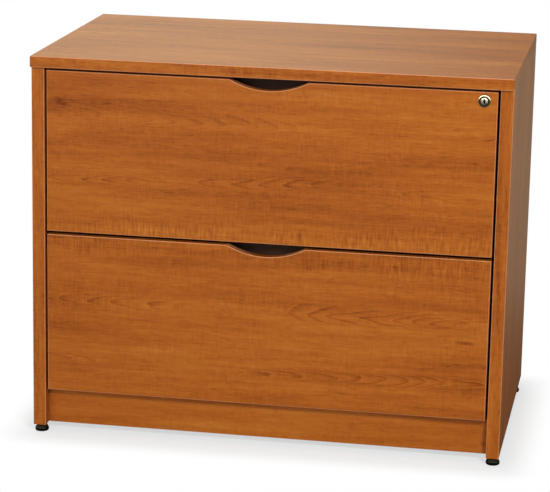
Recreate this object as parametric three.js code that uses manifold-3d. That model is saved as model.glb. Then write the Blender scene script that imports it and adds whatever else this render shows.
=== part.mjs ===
import * as THREE from 'three';
import { mergeVertices } from 'three/addons/utils/BufferGeometryUtils.js';
import Module from 'manifold-3d';

// Lateral filing cabinet with two drawers, in millimetres. +Z is up and the front faces -Y.
// The origin is on the floor, under the middle of the top panel.

// Overall size
const width = 914; // across the top panel
const depth = 559; // front edge of the top panel to the back
const height = 749; // floor to the top surface

// Boards of the carcass
const topThickness = 22;
const topFrontOverhang = 10;
const sideThickness = 25;
const backThickness = 16;
const bottomThickness = 16;
const kickThickness = 19;
const kickHeight = 68;
const kickRecess = 25; // behind the front edges of the side panels
const easedEdge = 1.5; // rounding of the board arrises

// Clearances
const seat = 0.3; // between pieces that rest on or in each other
const running = 0.4; // between pieces that slide or turn on each other

// Levellers
const footHeight = 16;
const footDiameter = 27;
const footTopDiameter = 19;
const footRim = 3; // upright rim under the taper
const footChamfer = 1;
const studDiameter = 8;
const studLength = 24;
const studEndRoom = 2; // bore left free above the stud
const insertDiameter = 13;
const insertLength = 20;
const insertFlangeDiameter = 20;
const insertFlangeThickness = 1.6;
const footFrontInset = 18; // front edge of a side panel to the leveller's axis
const footBackInset = 60; // back edge of a side panel to the leveller's axis

// Drawer fronts
const frontThickness = 19;
const frontReveal = 4.5; // between a front and the side panels
const topGap = 5.5; // between the upper front and the top panel
const middleGap = 6.5; // between the two fronts
const kickGap = 6; // between the kick plate's upper edge and the lower front

// Finger pulls
const pullWidth = 150;
const pullDepth = 19;
const pullBlend = 8; // radius where the notch runs out into the front's upper edge
const cupDepth = 26;
const cupWall = 2;
const cupFingerRoom = 12; // hollow below the notch, behind the front
const cupFlange = 10;
const cupTopDrop = 1; // below the front's upper edge

// Drawer boxes
const boxWall = 12;
const boxBottomThickness = 6;
const boxRise = 4; // above the front's lower edge
const boxTopGap = 2; // under the finger pull
const boxRearGap = 23; // to the back panel
const grooveRise = 6;
const grooveDepth = 6;
const railThickness = 3;
const railHeight = 16;
const letterSpacing = 318; // hook spacing of a letter-size hanging folder
const legalSpacing = 394; // hook spacing of a legal-size one
const railFrontInset = 18; // behind the inner front
const railEndInset = 1;

// Telescopic slides
const slideWidth = 12.7;
const slideHeight = 45;
const slideSheet = 1.4;
const slideLip = 3;
const slideFold = 2; // open width of the fold that carries the drawer member
const slideCorner = 0.6;
const slideCornerSteps = 2;
const slideRise = 120; // front's lower edge to the slide's centre line
const slideSetback = 54; // behind the front edges of the side panels
const slideRearGap = 29; // to the back panel

// Cam lock
const lockSideInset = 25; // from the front's right edge
const lockTopInset = 17; // from the front's upper edge
const bezelDiameter = 25.5;
const bezelHeight = 3;
const bezelRim = 1; // upright rim outside the sloping face
const crownDiameter = 20; // ring where the bezel stands highest
const crownWidth = 1;
const throatDiameter = 17.5; // foot of the dish round the plug
const throatDepth = 1.6;
const barrelDiameter = 19;
const barrelTail = 1; // behind the nut
const nutAcrossFlats = 25;
const nutThickness = 5;
const plugDiameter = 14.5;
const plugProud = 1; // plug's face beyond the bezel's
const plugChamfer = 0.5;
const tailDiameter = 7;
const tailEnd = 0.6; // behind the cam
const keySlotWidth = 1.8;
const keySlotHeight = 7;
const keySlotDepth = 12;
const camThickness = 2.5;
const camHubDiameter = 16;
const camTipDiameter = 9;
const camReach = 12; // lock axis to the drive pin
const camPinDiameter = 4;
const camPinLength = 6;
const lockTurn = Math.PI / 2;

// Lock bar
const barThickness = 6;
const barWidth = 14;
const barEnd = 15; // bar below its lower pin
const barPinDiameter = 6;
const barPinReach = 9; // out of the side panel's face
const headThickness = 2.5;
const headGap = 2; // behind the cam
const headMargin = 4; // plate round the slot
const slotPlay = 0.6; // drive pin to the slot's edges
const guideThickness = 1.5;
const guideHeight = 16;
const guideOverlap = 5; // on each side of the groove
const guideOffset = 40; // from the nearer bar pin
const catchThickness = 2;
const catchLength = 24;
const catchEarHeight = 14;
const catchEarReach = 9.5;
const catchGap = 1; // behind the bar pin
const catchDrop = 40; // box's upper edge to the ear's lower edge

// Places that several pieces share
const innerX = width / 2 - sideThickness;
const boardX = innerX - seat;
const frontY = -depth / 2 + topFrontOverhang;
const frontRearY = frontY + frontThickness;
const backY = depth / 2;
const insideBackY = backY - backThickness;
const underTop = height - topThickness;
const kickTop = footHeight + kickHeight;
const kickRearY = frontY + kickRecess + kickThickness;

const lowerFrontZ = kickTop + kickGap;
const frontHeight = (underTop - topGap - middleGap - lowerFrontZ) / 2;
const upperFrontZ = lowerFrontZ + frontHeight + middleGap;
const frontX = innerX - frontReveal;

const pullRadius = (pullWidth ** 2 / 4 + pullDepth ** 2) / (2 * pullDepth);
const pullCentreZ = frontHeight - pullDepth + pullRadius;
const cupInnerRadius = pullRadius + cupFingerRoom;
const cupOuterRadius = cupInnerRadius + cupWall;
const cupTopZ = frontHeight - cupTopDrop;

const boxX = innerX - slideWidth - seat;
const boxInnerX = boxX - boxWall;
const boxFrontY = frontRearY + seat;
const boxBackY = insideBackY - boxRearGap;
const boxTopZ = frontHeight - pullDepth - cupFingerRoom - cupWall - cupFlange - boxTopGap;
const boxBottomZ = boxRise + grooveRise;
const railY = boxFrontY + boxWall + railFrontInset;

const slideFrontY = frontY + slideSetback;
const slideLength = insideBackY - slideRearGap - slideFrontY;

const lockX = frontX - lockSideInset;
const lockZ = frontHeight - lockTopInset;
const nutY = frontThickness + seat; // from here to tailY, measured from the front's face
const barrelEndY = nutY + nutThickness + barrelTail;
const camY = barrelEndY + running;
const tailY = camY + camThickness + tailEnd;
const lockLift = 2 * camReach * Math.sin(lockTurn / 2);

const headY = frontY + camY + camThickness + headGap;
const barX = innerX + seat;
const barPinY = headY + barWidth / 2;
const headZ = upperFrontZ + lockZ - camReach * Math.sin(lockTurn / 2);
const headHalfHeight = camPinDiameter / 2 + slotPlay + headMargin;
const catchZ = boxTopZ - catchDrop;
const barPinDrop = lockLift - catchEarHeight / 2; // ear's lower edge down to an unlocked pin's axis
const barBottom = lowerFrontZ + catchZ - barPinDrop - barEnd;

const laminate = new THREE.MeshStandardMaterial({ color: 0xa85c28, roughness: 0.45 });
const melamine = new THREE.MeshStandardMaterial({ color: 0x3c3a38, roughness: 0.6 });
const blackPlastic = new THREE.MeshStandardMaterial({ color: 0x1d1a19, roughness: 0.55 });
const zincSteel = new THREE.MeshStandardMaterial({ color: 0xb9bcbe, roughness: 0.35, metalness: 1 });
const chrome = new THREE.MeshStandardMaterial({ color: 0xd8d8d8, roughness: 0.12, metalness: 1 });
const blackSteel = new THREE.MeshStandardMaterial({ color: 0x262626, roughness: 0.5, metalness: 0.4 });

const wasm = await Module();
wasm.setup();

// A closed geometry as a solid that can be joined and cut
function solid(geometry) {
  const bare = geometry.clone();
  bare.deleteAttribute('normal');
  bare.deleteAttribute('uv');
  const merged = mergeVertices(bare);
  const corners = merged.index.array;
  const triVerts = [];
  for (let i = 0; i < corners.length; i += 3) {
    const triangle = corners.slice(i, i + 3);
    if (new Set(triangle).size === 3) triVerts.push(...triangle);
  }
  const vertProperties = new Float32Array(merged.attributes.position.array);
  const mesh = new wasm.Mesh({ numProp: 3, vertProperties, triVerts: new Uint32Array(triVerts) });
  return new wasm.Manifold(mesh);
}

function geometryOf(body) {
  const mesh = body.getMesh();
  const geometry = new THREE.BufferGeometry();
  geometry.setAttribute('position', new THREE.BufferAttribute(mesh.vertProperties, 3));
  geometry.setIndex(new THREE.BufferAttribute(mesh.triVerts, 1));
  geometry.computeVertexNormals();
  return geometry;
}

function cut(geometry, tools) {
  return geometryOf(tools.reduce((body, tool) => body.subtract(solid(tool)), solid(geometry)));
}

function join(geometries) {
  return geometryOf(geometries.map(solid).reduce((body, piece) => body.add(piece)));
}

function block(x0, x1, y0, y1, z0, z1) {
  const geometry = new THREE.BoxGeometry(x1 - x0, y1 - y0, z1 - z0);
  return geometry.translate((x0 + x1) / 2, (y0 + y1) / 2, (z0 + z1) / 2);
}

// A solid of revolution about Y from pairs of radius and height, counter-clockwise
function turned(profile, segments = 32) {
  return new THREE.LatheGeometry(profile.map(([r, h]) => new THREE.Vector2(r, h)), segments);
}

function rectangle(u0, v0, u1, v1) {
  return new THREE.Shape([
    new THREE.Vector2(u0, v0),
    new THREE.Vector2(u1, v0),
    new THREE.Vector2(u1, v1),
    new THREE.Vector2(u0, v1),
  ]);
}

// An outline drawn out along an axis, half its length to each side, with eased end arrises.
// The outline lies in Y and Z for x, in X and Z for y, and in X and Y for z.
function drawn(axis, outline, length, ease = 0, curveSegments = 20) {
  const geometry = new THREE.ExtrudeGeometry(outline, {
    depth: length - 2 * ease,
    bevelEnabled: ease > 0,
    bevelThickness: ease,
    bevelSize: ease,
    bevelOffset: -ease,
    bevelSegments: 2,
    curveSegments,
  });
  geometry.translate(0, 0, ease - length / 2);
  if (axis === 'x') geometry.rotateX(Math.PI / 2).rotateZ(Math.PI / 2);
  if (axis === 'y') geometry.rotateX(Math.PI / 2);
  return geometry;
}

function addPiece(group, name, geometry, material, x = 0, y = 0, z = 0) {
  const piece = new THREE.Mesh(geometry, material);
  piece.name = name;
  piece.position.set(x, y, z);
  group.add(piece);
  return piece;
}

const cabinet = new THREE.Group();
const sides = { left: -1, right: 1 };
const footRows = { front: frontY + footFrontInset, rear: backY - footBackInset };

function addTop() {
  const outline = rectangle(-width / 2, -depth / 2, width / 2, backY);
  const geometry = drawn('z', outline, topThickness, easedEdge);
  addPiece(cabinet, 'top_panel', geometry, laminate, 0, 0, height - topThickness / 2);
}

// Levellers, the sleeves that they screw into, and the pockets bored for both in the side panels

function insertPockets() {
  const steps = [
    [insertFlangeDiameter / 2 + seat, insertFlangeThickness + seat],
    [insertDiameter / 2 + seat, insertLength + seat],
    [studDiameter / 2 + running, studLength + studEndRoom],
  ];
  return Object.values(footRows).flatMap((y) => steps.map(([radius, reach]) => {
    const pocket = new THREE.CylinderGeometry(radius, radius, 2 * reach, 24);
    return pocket.rotateX(Math.PI / 2).translate(0, y, footHeight);
  }));
}

function insertSleeve() {
  const inner = studDiameter / 2 + running;
  return turned([
    [inner, 0],
    [insertFlangeDiameter / 2, 0],
    [insertFlangeDiameter / 2, insertFlangeThickness],
    [insertDiameter / 2, insertFlangeThickness],
    [insertDiameter / 2, insertLength],
    [inner, insertLength],
    [inner, 0],
  ], 24).rotateX(Math.PI / 2);
}

function levellerFoot() {
  const shoulder = footHeight - seat;
  return turned([
    [0, 0],
    [footDiameter / 2 - footChamfer, 0],
    [footDiameter / 2, footChamfer],
    [footDiameter / 2, footRim],
    [footTopDiameter / 2, shoulder],
    [studDiameter / 2, shoulder],
    [studDiameter / 2, footHeight + studLength],
    [0, footHeight + studLength],
  ]).rotateX(Math.PI / 2);
}

function addLevellers() {
  const x = innerX + sideThickness / 2;
  for (const [row, y] of Object.entries(footRows)) {
    for (const [hand, side] of Object.entries(sides)) {
      const place = `${row}_${hand}`;
      addPiece(cabinet, `${place}_leveller_insert`, insertSleeve(), zincSteel, side * x, y, footHeight);
      addPiece(cabinet, `${place}_leveller`, levellerFoot(), blackPlastic, side * x, y);
    }
  }
}

// Side panels, with the lock bar's groove in the right one

function barGroove() {
  const faceX = -sideThickness / 2;
  return block(
    faceX - seat, faceX + seat + barThickness + running,
    headY - running, headY + barWidth + running,
    barBottom - running, height);
}

function addSidePanels() {
  const outline = rectangle(frontY, footHeight, backY, underTop - seat);
  const panel = drawn('x', outline, sideThickness, easedEdge);
  const x = innerX + sideThickness / 2;
  addPiece(cabinet, 'left_side_panel', cut(panel, insertPockets()), laminate, -x);
  addPiece(cabinet, 'right_side_panel', cut(panel, [...insertPockets(), barGroove()]), laminate, x);
}

function addInnerBoards() {
  const backOutline = rectangle(-boardX, footHeight, boardX, underTop - seat);
  const back = drawn('y', backOutline, backThickness, easedEdge);
  addPiece(cabinet, 'back_panel', back, laminate, 0, insideBackY + backThickness / 2);

  const bottomOutline = rectangle(-boardX, kickRearY + seat, boardX, insideBackY - seat);
  const bottom = drawn('z', bottomOutline, bottomThickness);
  addPiece(cabinet, 'bottom_panel', bottom, laminate, 0, 0, kickTop - bottomThickness / 2);

  const kick = drawn('y', rectangle(-boardX, footHeight, boardX, kickTop), kickThickness, easedEdge);
  addPiece(cabinet, 'kick_plate', kick, laminate, 0, kickRearY - kickThickness / 2);
}

// Telescopic slides: roll-formed sections that ride inside one another. A section is drawn with u from the
// side panel's face towards the drawer and v up from the centre line.

function rolled(points) {
  const outline = new THREE.Shape();
  const corner = points.map(([u, v]) => new THREE.Vector2(u, v));
  corner.forEach((point, i) => {
    const towards = (other) => other.clone().sub(point).setLength(slideCorner).add(point);
    const start = towards(corner.at(i - 1));
    const end = towards(corner[(i + 1) % corner.length]);
    if (i === 0) outline.moveTo(start.x, start.y);
    else outline.lineTo(start.x, start.y);
    outline.quadraticCurveTo(point.x, point.y, end.x, end.y);
  });
  outline.closePath();
  return outline;
}

function mirrored(half) {
  return [...half, ...half.map(([u, v]) => [u, -v]).reverse()];
}

// A lipped channel that opens towards the drawer
function channel(u0, u1, halfHeight) {
  return rolled(mirrored([
    [u0, halfHeight],
    [u1, halfHeight],
    [u1, halfHeight - slideLip],
    [u1 - slideSheet, halfHeight - slideLip],
    [u1 - slideSheet, halfHeight - slideSheet],
    [u0 + slideSheet, halfHeight - slideSheet],
  ]));
}

// A hat section whose folded rims stay inside the channel and whose crown carries the drawer
function hat(u0, u1, crown, halfHeight) {
  const rim = halfHeight - slideSheet;
  const wall = rim - slideFold;
  return rolled(mirrored([
    [u0, wall - slideSheet],
    [u0, halfHeight],
    [u1, halfHeight],
    [u1, rim],
    [u0 + slideSheet, rim],
    [u0 + slideSheet, wall],
    [crown, wall],
  ]).concat(mirrored([[crown - slideSheet, wall - slideSheet]]).reverse()));
}

function slideSections() {
  const nest = slideSheet + running;
  const mouth = slideWidth - slideSheet / 2;
  const half = slideHeight / 2;
  return {
    cabinet: channel(seat, mouth, half),
    middle: channel(seat + nest, mouth - nest, half - nest),
    drawer: hat(seat + 2 * nest, mouth - 2 * nest, slideWidth, half - 2 * nest),
  };
}

function addSlides(level, frontZ) {
  const y = slideFrontY + slideLength / 2;
  for (const [member, section] of Object.entries(slideSections())) {
    const geometry = drawn('y', section, slideLength, 0, slideCornerSteps);
    for (const [hand, side] of Object.entries(sides)) {
      const name = `${level}_${hand}_slide_${member}_member`;
      const piece = addPiece(cabinet, name, geometry, zincSteel, side * innerX, y, frontZ + slideRise);
      piece.rotation.z = side > 0 ? Math.PI : 0;
    }
  }
}

// Drawers, each in a group whose origin is at the front's lower edge

// The front's outline, with a scooped notch that runs out into the upper edge on small blends
function frontOutline() {
  const reach = pullRadius + pullBlend;
  const rise = pullCentreZ - frontHeight + pullBlend;
  const blendX = Math.sqrt(reach ** 2 - rise ** 2);
  const blendZ = frontHeight - pullBlend;
  const tilt = Math.atan2(rise, blendX);
  const outline = new THREE.Shape();
  outline.moveTo(-frontX, 0);
  outline.lineTo(frontX, 0);
  outline.lineTo(frontX, frontHeight);
  outline.absarc(blendX, blendZ, pullBlend, Math.PI / 2, Math.PI - tilt, false);
  outline.absarc(0, pullCentreZ, pullRadius, -tilt, tilt - Math.PI, true);
  outline.absarc(-blendX, blendZ, pullBlend, tilt, Math.PI / 2, false);
  outline.lineTo(-frontX, frontHeight);
  return outline;
}

// The part of a disc round the notch's centre that lies below a level
function scoop(radius, topZ) {
  const end = Math.asin((topZ - pullCentreZ) / radius);
  const outline = new THREE.Shape();
  outline.absarc(0, pullCentreZ, radius, -Math.PI - end, end, false);
  return outline;
}

// A moulded cup behind the notch, open to the front and above, with a flange against the front's rear face
function fingerCup() {
  const flange = drawn('y', scoop(cupOuterRadius + cupFlange, cupTopZ), cupWall);
  const shell = drawn('y', scoop(cupOuterRadius, cupTopZ), cupDepth);
  const hollow = drawn('y', scoop(cupInnerRadius, frontHeight), 2 * (cupDepth - cupWall));
  flange.translate(0, cupWall / 2, 0);
  shell.translate(0, cupDepth / 2, 0);
  return cut(join([flange, shell]), [hollow]);
}

function boxSide(innerSign) {
  const side = drawn('x', rectangle(boxFrontY, boxRise, boxBackY, boxTopZ), boxWall);
  const faceX = innerSign * boxWall / 2;
  const grooveX = faceX - innerSign * grooveDepth;
  const groove = block(
    Math.min(grooveX, faceX + innerSign), Math.max(grooveX, faceX + innerSign),
    boxFrontY - seat, boxBackY + seat,
    boxBottomZ - seat, boxBottomZ + boxBottomThickness + seat);
  const slots = [railY, railY + letterSpacing, railY + legalSpacing].map((y) => block(
    -boxWall, boxWall,
    y - railThickness / 2 - seat, y + railThickness / 2 + seat,
    boxTopZ - railHeight - seat, frontHeight));
  return cut(side, [groove, ...slots]);
}

function innerFront() {
  const x = boxInnerX - seat;
  const rearY = boxFrontY + boxWall;
  const board = block(-x, x, boxFrontY, rearY, boxRise, boxTopZ);
  const groove = block(
    -boxX, boxX,
    rearY - grooveDepth, rearY + seat,
    boxBottomZ - seat, boxBottomZ + boxBottomThickness + seat);
  return cut(board, [groove]);
}

function addBox(drawer, level) {
  const wallX = boxInnerX + boxWall / 2;
  const x = boxInnerX - seat;
  const bottomX = boxInnerX + grooveDepth - seat;
  const bottomTop = boxBottomZ + boxBottomThickness;
  addPiece(drawer, `${level}_box_left_side`, boxSide(1), melamine, -wallX);
  addPiece(drawer, `${level}_box_right_side`, boxSide(-1), melamine, wallX);
  addPiece(drawer, `${level}_box_inner_front`, innerFront(), melamine);
  const back = block(-x, x, boxBackY - boxWall, boxBackY, bottomTop + seat, boxTopZ);
  addPiece(drawer, `${level}_box_back`, back, melamine);
  const bottomFrontY = boxFrontY + boxWall - grooveDepth + seat;
  const bottom = block(-bottomX, bottomX, bottomFrontY, boxBackY, boxBottomZ, bottomTop);
  addPiece(drawer, `${level}_box_bottom`, bottom, melamine);
}

function addRails(drawer, level) {
  const x = boxX - railEndInset;
  const rail = block(-x, x, -railThickness / 2, railThickness / 2, boxTopZ - railHeight, boxTopZ);
  addPiece(drawer, `${level}_front_file_rail`, rail, blackSteel, 0, railY);
  addPiece(drawer, `${level}_rear_file_rail`, rail, blackSteel, 0, railY + letterSpacing);
}

// An angle on the box's right side, whose ear stands behind the lock bar's pin
function addCatch(drawer, level) {
  const x = boxX + seat;
  const y = barPinY + barPinDiameter / 2 + catchGap;
  const plate = block(x, x + catchThickness, y, y + catchLength, catchZ, catchZ + 2 * catchEarHeight);
  const ear = block(x, x + catchEarReach, y, y + catchThickness, catchZ, catchZ + catchEarHeight);
  addPiece(drawer, `${level}_lock_catch`, join([plate, ear]), blackSteel);
}

function addDrawer(level, frontZ, frontBore) {
  const drawer = new THREE.Group();
  drawer.position.z = frontZ;
  cabinet.add(drawer);
  const board = drawn('y', frontOutline(), frontThickness, easedEdge);
  const y = frontY + frontThickness / 2;
  addPiece(drawer, `${level}_drawer_front`, cut(board, frontBore), laminate, 0, y);
  addPiece(drawer, `${level}_finger_pull`, fingerCup(), blackPlastic, 0, boxFrontY);
  addBox(drawer, level);
  addRails(drawer, level);
  addCatch(drawer, level);
  addSlides(level, frontZ);
  return drawer;
}

// Cam lock, in a group on the lock's axis at the front's face. Heights run back along +Y.

function lockBore() {
  const radius = barrelDiameter / 2 + seat;
  return new THREE.CylinderGeometry(radius, radius, 2 * frontThickness).translate(lockX, 0, lockZ);
}

function lockHousing() {
  const faceY = -seat - bezelHeight;
  const throatY = faceY + throatDepth;
  const bore = plugDiameter / 2 + running;
  return turned([
    [bore, throatY],
    [throatDiameter / 2, throatY],
    [(crownDiameter - crownWidth) / 2, faceY],
    [(crownDiameter + crownWidth) / 2, faceY],
    [bezelDiameter / 2, -seat - bezelRim],
    [bezelDiameter / 2, -seat],
    [barrelDiameter / 2, -seat],
    [barrelDiameter / 2, barrelEndY],
    [bore, barrelEndY],
    [bore, throatY],
  ], 40);
}

function lockNut() {
  const outline = new THREE.Shape();
  const cornerRadius = nutAcrossFlats / Math.sqrt(3);
  for (let i = 0; i < 6; i += 1) {
    const angle = i * Math.PI / 3;
    outline[i ? 'lineTo' : 'moveTo'](cornerRadius * Math.cos(angle), cornerRadius * Math.sin(angle));
  }
  outline.holes.push(new THREE.Path().absarc(0, 0, barrelDiameter / 2 + seat, 0, 2 * Math.PI));
  return drawn('y', outline, nutThickness);
}

function lockPlug() {
  const faceY = -seat - bezelHeight - plugProud;
  const plug = turned([
    [0, faceY],
    [plugDiameter / 2 - plugChamfer, faceY],
    [plugDiameter / 2, faceY + plugChamfer],
    [plugDiameter / 2, barrelEndY],
    [tailDiameter / 2, barrelEndY],
    [tailDiameter / 2, tailY],
    [0, tailY],
  ]);
  const keySlot = block(
    -keySlotWidth / 2, keySlotWidth / 2,
    faceY - seat, faceY + keySlotDepth,
    -keySlotHeight / 2, keySlotHeight / 2);
  return cut(plug, [keySlot]);
}

// A tapered arm with a drive pin, at rest half a turn's sweep below level
function lockCam() {
  const hub = camHubDiameter / 2;
  const tip = camTipDiameter / 2;
  const tangent = Math.acos((hub - tip) / camReach);
  const outline = new THREE.Shape();
  outline.absarc(0, 0, hub, tangent, 2 * Math.PI - tangent, false);
  outline.absarc(camReach, 0, tip, -tangent, tangent, false);
  outline.holes.push(new THREE.Path().absarc(0, 0, tailDiameter / 2 + seat, 0, 2 * Math.PI));
  const arm = drawn('y', outline, camThickness);
  const pinLength = camThickness + camPinLength;
  const pin = new THREE.CylinderGeometry(camPinDiameter / 2, camPinDiameter / 2, pinLength, 20);
  pin.translate(camReach, camPinLength / 2, 0);
  return join([arm, pin]).rotateY(lockTurn / 2);
}

function addLock(drawer) {
  const lock = new THREE.Group();
  lock.position.set(lockX, frontY, lockZ);
  drawer.add(lock);
  addPiece(lock, 'lock_housing', lockHousing(), chrome);
  addPiece(lock, 'lock_nut', lockNut(), zincSteel, 0, nutY + nutThickness / 2);
  addPiece(lock, 'lock_plug', lockPlug(), chrome);
  addPiece(lock, 'lock_cam', lockCam(), zincSteel, 0, camY + camThickness / 2);
}

// Lock bar in the right side panel's groove. The cam's pin lifts its head by the slot, and a pin for each
// drawer then stands in front of that drawer's catch.
function addLockBar() {
  const farX = barX + barThickness;
  const slotX = lockX + camReach * Math.cos(lockTurn / 2) - camPinDiameter / 2 - slotPlay;
  const slotEndX = lockX + camReach + camPinDiameter / 2 + slotPlay;
  const slotHalf = camPinDiameter / 2 + slotPlay;
  const bar = block(barX, farX, headY, headY + barWidth, barBottom, headZ + headHalfHeight);
  const head = block(
    slotX - headMargin, barX + barThickness / 2,
    headY, headY + headThickness,
    headZ - headHalfHeight, headZ + headHalfHeight);
  const slot = block(
    slotX, slotEndX,
    headY - seat, headY + headThickness + seat,
    headZ - slotHalf, headZ + slotHalf);
  const pinLength = barPinReach + seat + barThickness / 2;
  const pins = [lowerFrontZ, upperFrontZ].map((frontZ) => {
    const pin = new THREE.CylinderGeometry(barPinDiameter / 2, barPinDiameter / 2, pinLength, 20);
    const pinX = innerX - barPinReach + pinLength / 2;
    return pin.rotateZ(Math.PI / 2).translate(pinX, barPinY, frontZ + catchZ - barPinDrop);
  });
  addPiece(cabinet, 'lock_bar', cut(join([bar, head, ...pins]), [slot]), blackSteel);
}

function addBarGuides() {
  const keeper = block(
    -guideThickness, 0,
    headY - running - guideOverlap, headY + barWidth + running + guideOverlap,
    -guideHeight / 2, guideHeight / 2);
  const lowerZ = lowerFrontZ + catchZ - barPinDrop + guideOffset;
  const upperZ = upperFrontZ + catchZ - barPinDrop - guideOffset;
  addPiece(cabinet, 'lower_lock_bar_guide', keeper, blackSteel, innerX - seat, 0, lowerZ);
  addPiece(cabinet, 'upper_lock_bar_guide', keeper, blackSteel, innerX - seat, 0, upperZ);
}

addTop();
addSidePanels();
addInnerBoards();
addLevellers();
addDrawer('lower', lowerFrontZ, []);
addLock(addDrawer('upper', upperFrontZ, [lockBore()]));
addLockBar();
addBarGuides();

export default cabinet;
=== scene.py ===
import math

import bmesh
import bpy
from mathutils import Matrix, Vector


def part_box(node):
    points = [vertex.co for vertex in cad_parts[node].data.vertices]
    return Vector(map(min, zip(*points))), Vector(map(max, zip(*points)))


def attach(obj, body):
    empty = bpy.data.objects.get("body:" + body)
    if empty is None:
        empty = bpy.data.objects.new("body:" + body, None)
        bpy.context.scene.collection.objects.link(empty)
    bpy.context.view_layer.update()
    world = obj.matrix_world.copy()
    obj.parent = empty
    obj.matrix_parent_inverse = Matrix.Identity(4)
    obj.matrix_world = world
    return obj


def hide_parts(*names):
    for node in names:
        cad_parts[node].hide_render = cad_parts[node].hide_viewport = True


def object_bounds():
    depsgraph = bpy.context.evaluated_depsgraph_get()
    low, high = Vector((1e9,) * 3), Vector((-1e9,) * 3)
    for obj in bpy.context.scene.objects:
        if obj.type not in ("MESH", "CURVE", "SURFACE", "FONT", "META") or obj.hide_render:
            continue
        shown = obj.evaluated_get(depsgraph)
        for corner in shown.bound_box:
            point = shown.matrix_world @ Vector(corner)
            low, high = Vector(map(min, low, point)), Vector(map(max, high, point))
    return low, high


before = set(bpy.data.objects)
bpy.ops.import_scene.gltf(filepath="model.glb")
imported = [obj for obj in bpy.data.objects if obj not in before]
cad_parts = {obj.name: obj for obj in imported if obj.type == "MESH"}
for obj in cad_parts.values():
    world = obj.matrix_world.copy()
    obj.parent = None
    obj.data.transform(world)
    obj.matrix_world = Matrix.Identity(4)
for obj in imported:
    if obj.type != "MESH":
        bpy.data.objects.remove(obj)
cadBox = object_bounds()
scene = bpy.context.scene
scene.view_settings.view_transform = "Standard"
print("frame loaded:", len(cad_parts), "nodes")

# Camera: seen from a little above and to the right, as in the photograph
view = {
    "place": (0.76595, -4.53573, 1.49123),
    "yaw": 0.1736,  # radians, as the next two
    "pitch": -0.2454,
    "roll": 0.0192,
    "focalPixels": 2361.0,
    "imageWidth": 550,
    "sensor": 36.0,
}


def makeCamera():
    data = bpy.data.cameras.new("camera")
    data.sensor_width = view["sensor"]
    data.lens = view["focalPixels"] * view["sensor"] / view["imageWidth"]
    camera = bpy.data.objects.new("camera", data)
    scene.collection.objects.link(camera)
    heading = Matrix.Rotation(view["yaw"], 3, "Z")
    tilt = Matrix.Rotation(math.pi / 2 + view["pitch"], 3, "X")
    roll = Matrix.Rotation(view["roll"], 3, "Z")
    camera.rotation_euler = (heading @ tilt @ roll).to_euler()
    camera.location = view["place"]
    scene.camera = camera


makeCamera()
print("camera set")


def colour(hexValue):
    channels = [int(hexValue[i:i + 2], 16) / 255 for i in (1, 3, 5)]
    return [c / 12.92 if c <= 0.04045 else ((c + 0.055) / 1.055) ** 2.4 for c in channels] + [1.0]


def addNode(tree, kind, inputs=(), stops=(), **settings):
    # Inputs are listed in order or keyed by number or name. A node stands for its first output in use.
    made = tree.nodes.new("ShaderNode" + kind)
    for name, value in settings.items():
        setattr(made, name, value)
    if not isinstance(inputs, dict):
        inputs = dict(enumerate(inputs))
    for key, value in inputs.items():
        if isinstance(value, bpy.types.Node):
            value = next(socket for socket in value.outputs if socket.enabled)
        if isinstance(value, bpy.types.NodeSocket):
            tree.links.new(value, made.inputs[key])
        else:
            made.inputs[key].default_value = value
    for i, (position, hexValue) in enumerate(stops):
        ramp = made.color_ramp.elements
        stop = ramp[i] if i < 2 else ramp.new(position)  # a ramp starts with two stops
        stop.position = position
        stop.color = colour(hexValue)
    return made


smooth = {"interpolation_type": "SMOOTHSTEP"}  # eases a range at both ends


def newMaterial(name, **inputs):
    material = bpy.data.materials.new(name)
    material.use_nodes = True
    tree = material.node_tree
    shader = tree.nodes["Principled BSDF"]
    for key, value in inputs.items():
        shader.inputs[key].default_value = value
    return material, tree, shader


def perMetre(*lengths):
    return [1000 / length for length in lengths]  # pattern lengths are in millimetres


def dress(material, *names):
    for name in names:
        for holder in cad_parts[name].material_slots:
            holder.material = material


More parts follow.
